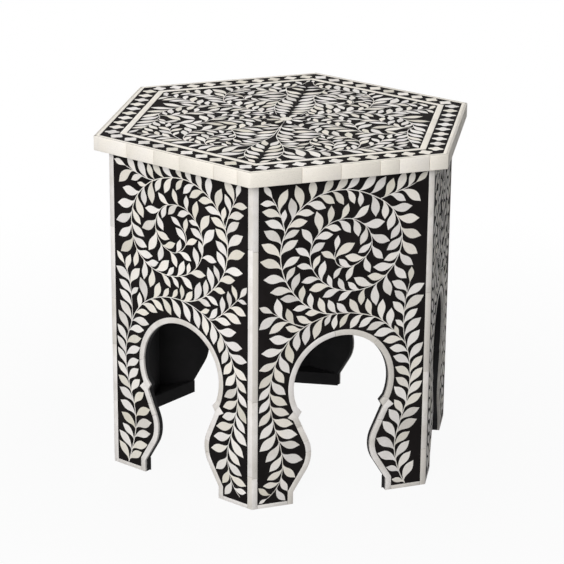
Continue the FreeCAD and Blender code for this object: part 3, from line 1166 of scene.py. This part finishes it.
def lay_leaf(pieces, carry, leaf, mirror):
    """One leaf as rings of five points across its middle line."""
    middle, sideways = leaf_edges(leaf)
    half = np.linalg.norm(sideways, axis=1)
    inset = 1 - np.minimum(softness, 0.6 * half) / half.clip(1e-6)
    foot = np.ones(leaf_stations)
    half_share = np.stack([foot, inset, 0 * half, -inset, -foot], axis=1)
    half_share[-1] = np.linspace(1, -1, 5)
    sideways[-1] = sideways[-2] * tip_share
    flat = middle[:, None] + sideways[:, None] * half_share[..., None]
    if mirror < 0:
        flat = flat[:, ::-1] * flip
    depth = np.tile([-sunk, proud, proud, proud, -sunk], (leaf_stations, 1))
    depth[-1, 1:4] = 0.0
    grain = grain_place(leaf["length"] * share_along[:, None], half_share * half[:, None])
    # the buried feet carry the edge mark, where the bone finish paints shade
    edge = np.array([1.0, 0.0, 0.0, 0.0, 1.0])
    pieces.add(carry(flat, depth), tone_source.beta(1.8, 1.4), grain, edge)


def lay_stem(pieces, carry, points, mirror):
    """A stem as a narrow bar that tapers to its tip."""
    path = smooth_path(points, stem_step)
    run = lengths_along(path)
    tangent = np.gradient(path, axis=0)
    tangent /= np.linalg.norm(tangent, axis=1, keepdims=True)
    half = np.interp(run, [0, run[-1]], [stem_width, stem_tip_width])[:, None] / 2
    sideways = half * np.stack([-tangent[:, 1], tangent[:, 0]], axis=-1)
    edges = path + sideways, path - sideways
    bar(pieces, carry, *(mirrored(*edges) if mirror < 0 else edges), **stem_shape)


def lay_vine(name, carry, stems, leaves, mirrors=(1,)):
    """The leaves and the stems of one drawing, once or once and mirrored."""
    leaf_pieces, stem_pieces = Pieces(), Pieces()
    for mirror in mirrors:
        for leaf in leaves:
            lay_leaf(leaf_pieces, carry, leaf, mirror)
        for points in stems.values():
            lay_stem(stem_pieces, carry, points, mirror)
    place(leaf_pieces, name + "_leaves", leaf_bone)
    place(stem_pieces, name + "_stems", leaf_bone)


for side, name in enumerate(SIDES):
    lay_vine(name + "_vine", on_panel(side), *side_designs[side % 2])
corner_to_reader = -0.5  # the top's drawings are turned by half a side
lay_vine("top_vine", on_top(corner_to_reader), top_stems, top_leaves, (1, -1))

# %% [markdown]
# ## The flower in the middle of the top
# Eight narrow petals stand round a broad button. A petal is a plate whose half width is the
# sine of the way along, raised to a power so that it fills out early and ends in a blunt point.

# %% Flower petals
petal_count = 8
petal_half_width = 4.2
petal_end_half_width = 0.5
button_radius = 8.6
way = np.linspace(0, np.pi, 11)
radius = np.linspace(button_radius + seam, petal_reach, 11)
fullness = np.sin(way) ** 0.65 * np.linspace(0.85, 1.0, 11)
half = petal_end_half_width + (petal_half_width - petal_end_half_width) * fullness
lower_edge, upper_edge = np.stack([radius, -half], axis=-1), np.stack([radius, half], axis=-1)
petal = np.concatenate([lower_edge, upper_edge[::-1]])
flower = Pieces()
for number in range(petal_count):
    angle = 2 * np.pi * (number + 0.5) / petal_count
    plate(flower, on_top(corner_to_reader), turned(petal, angle), 0.3)
button = on_circle(button_radius, np.linspace(0, 2 * np.pi, 24, endpoint=False))
plate(flower, on_top(corner_to_reader), button, 0.5, proud=0.15)
place(flower, "top_flower_bone", leaf_bone, ["top_rosette"])

# %% [markdown]
# ## Floor, light and camera
# The stool stands on a plain pale floor. The floor and the sky look white to the camera and in
# reflections, and the floor keeps a faint shadow.

# %% Floor
floor_size = 12.0
floor_mesh = bpy.data.meshes.new("floor")
corners = floor_size * np.array([(-1, -1, 0), (1, -1, 0), (1, 1, 0), (-1, 1, 0)], float)
floor_mesh.from_pydata(corners.tolist(), [], [(0, 1, 2, 3)])
floor = bpy.data.objects.new("floor", floor_mesh)
bpy.context.scene.collection.objects.link(floor)


def seen_directly(tree):
    """1 for rays from the camera, from reflections and through glass, and 0 for the rest."""
    rays = add_node(tree, "LightPath").outputs
    seen = math_node(tree, "MAXIMUM", rays["Is Camera Ray"], rays["Is Glossy Ray"])
    return math_node(tree, "MAXIMUM", seen, rays["Is Transmission Ray"])


floor_paint, tree, shader = new_material("floor_paint")
set_inputs(
    tree,
    shader,
    {"Base Color": colour(160, 160, 160), "Roughness": 0.9, "Specular IOR Level": 0.0},
)
object_place = add_node(tree, "TexCoord").outputs["Object"]
reach = add_node(tree, "VectorMath", {0: object_place}, operation="LENGTH").outputs["Value"]
share = range_node(tree, reach, 0.3, 1.1, 0.94, 1.0)
glow = add_node(tree, "Emission", {"Color": (1, 1, 1, 1), "Strength": 1.0})
whiteness = math_node(tree, "MULTIPLY", seen_directly(tree), share)
mixed = {"Fac": whiteness, 1: shader.outputs[0], 2: glow.outputs[0]}
blend = add_node(tree, "MixShader", mixed)
set_inputs(tree, tree.nodes["Material Output"], {"Surface": blend.outputs[0]})
floor_mesh.materials.append(floor_paint)
print("floor:", floor_size * 2, "m wide")

# %% [markdown]
# One large lamp stands low at the front left, so that the top throws no shade on the sides
# under it, and the side that turns away to the right stays dim. A second one lights the top
# from above, and a third one lights the three sides at the back. The back lamp is kept out of
# reflections, which would otherwise lie over the top as a haze.

# %% Sky and lamps
sky_strength = 0.16
world = bpy.data.worlds.new("studio")
bpy.context.scene.world = world
world.use_nodes = True
tree = world.node_tree
seen = seen_directly(tree)
strength = math_node(tree, "MULTIPLY_ADD", seen, 1.0 - sky_strength, sky_strength)
set_inputs(tree, tree.nodes["Background"], {"Color": (1, 1, 1, 1), "Strength": strength})
lamp_size = 2.0
stool_middle = np.array([0.0, 0.0, 0.25])


def soft_lamp(name, position, power):
    """A round lamp that faces the stool's middle."""
    lamp = bpy.data.objects.new(name, bpy.data.lights.new(name, "AREA"))
    lamp.data.shape = "DISK"
    lamp.data.size = lamp_size
    lamp.data.energy = power
    aim_line = stool_middle - position
    tilt = np.pi / 2 + np.arctan2(aim_line[2], np.hypot(aim_line[0], aim_line[1]))
    lamp.location = position
    lamp.rotation_euler = (tilt, 0.0, np.arctan2(aim_line[1], aim_line[0]) - np.pi / 2)
    bpy.context.scene.collection.objects.link(lamp)
    return lamp


soft_lamp("side_lamp", (-1.86, -2.31, 1.45), 90.0)
soft_lamp("top_lamp", (-0.3, -0.4, 3.0), 31.0)
back_lamp = soft_lamp("back_lamp", (0.5, 2.9, 1.45), 58.0)
back_lamp.visible_glossy = False
print("lamps:", [light.name for light in bpy.data.lights])

# %% [markdown]
# The camera stands a little above the top, three metres away, and looks along a line found
# from the photograph's perspective: its turn round the stool, its height angle, its distance
# and its slight roll.

# %% Camera
view_turn = np.radians(-20.526)
view_rise = np.radians(19.007)
view_roll = np.radians(0.46)
view_distance = 2.9582
aim_aside = -0.003495
aim_height = 0.224857
level_back = turned(np.array([0.0, -np.cos(view_rise)]), view_turn)
back = np.array([*level_back, np.sin(view_rise)])
right = np.array([np.cos(view_turn), np.sin(view_turn), 0.0])
up = np.cross(back, right)
matrix = np.eye(4)
matrix[:3, 0] = right * np.cos(view_roll) + up * np.sin(view_roll)
matrix[:3, 1] = up * np.cos(view_roll) - right * np.sin(view_roll)
matrix[:3, 2] = back
matrix[:3, 3] = np.array([0.0, 0.0, aim_height]) + right * aim_aside + back * view_distance
camera = bpy.data.objects.new("camera", bpy.data.cameras.new("camera"))
camera.data.lens = 141.24
camera.data.sensor_width = 36.0
camera.data.clip_end = 100.0
camera.matrix_world = Matrix(matrix.tolist())
bpy.context.scene.collection.objects.link(camera)
bpy.context.scene.camera = camera
bpy.context.scene.view_settings.view_transform = "Standard"
print("camera at", matrix[:3, 3].round(3))
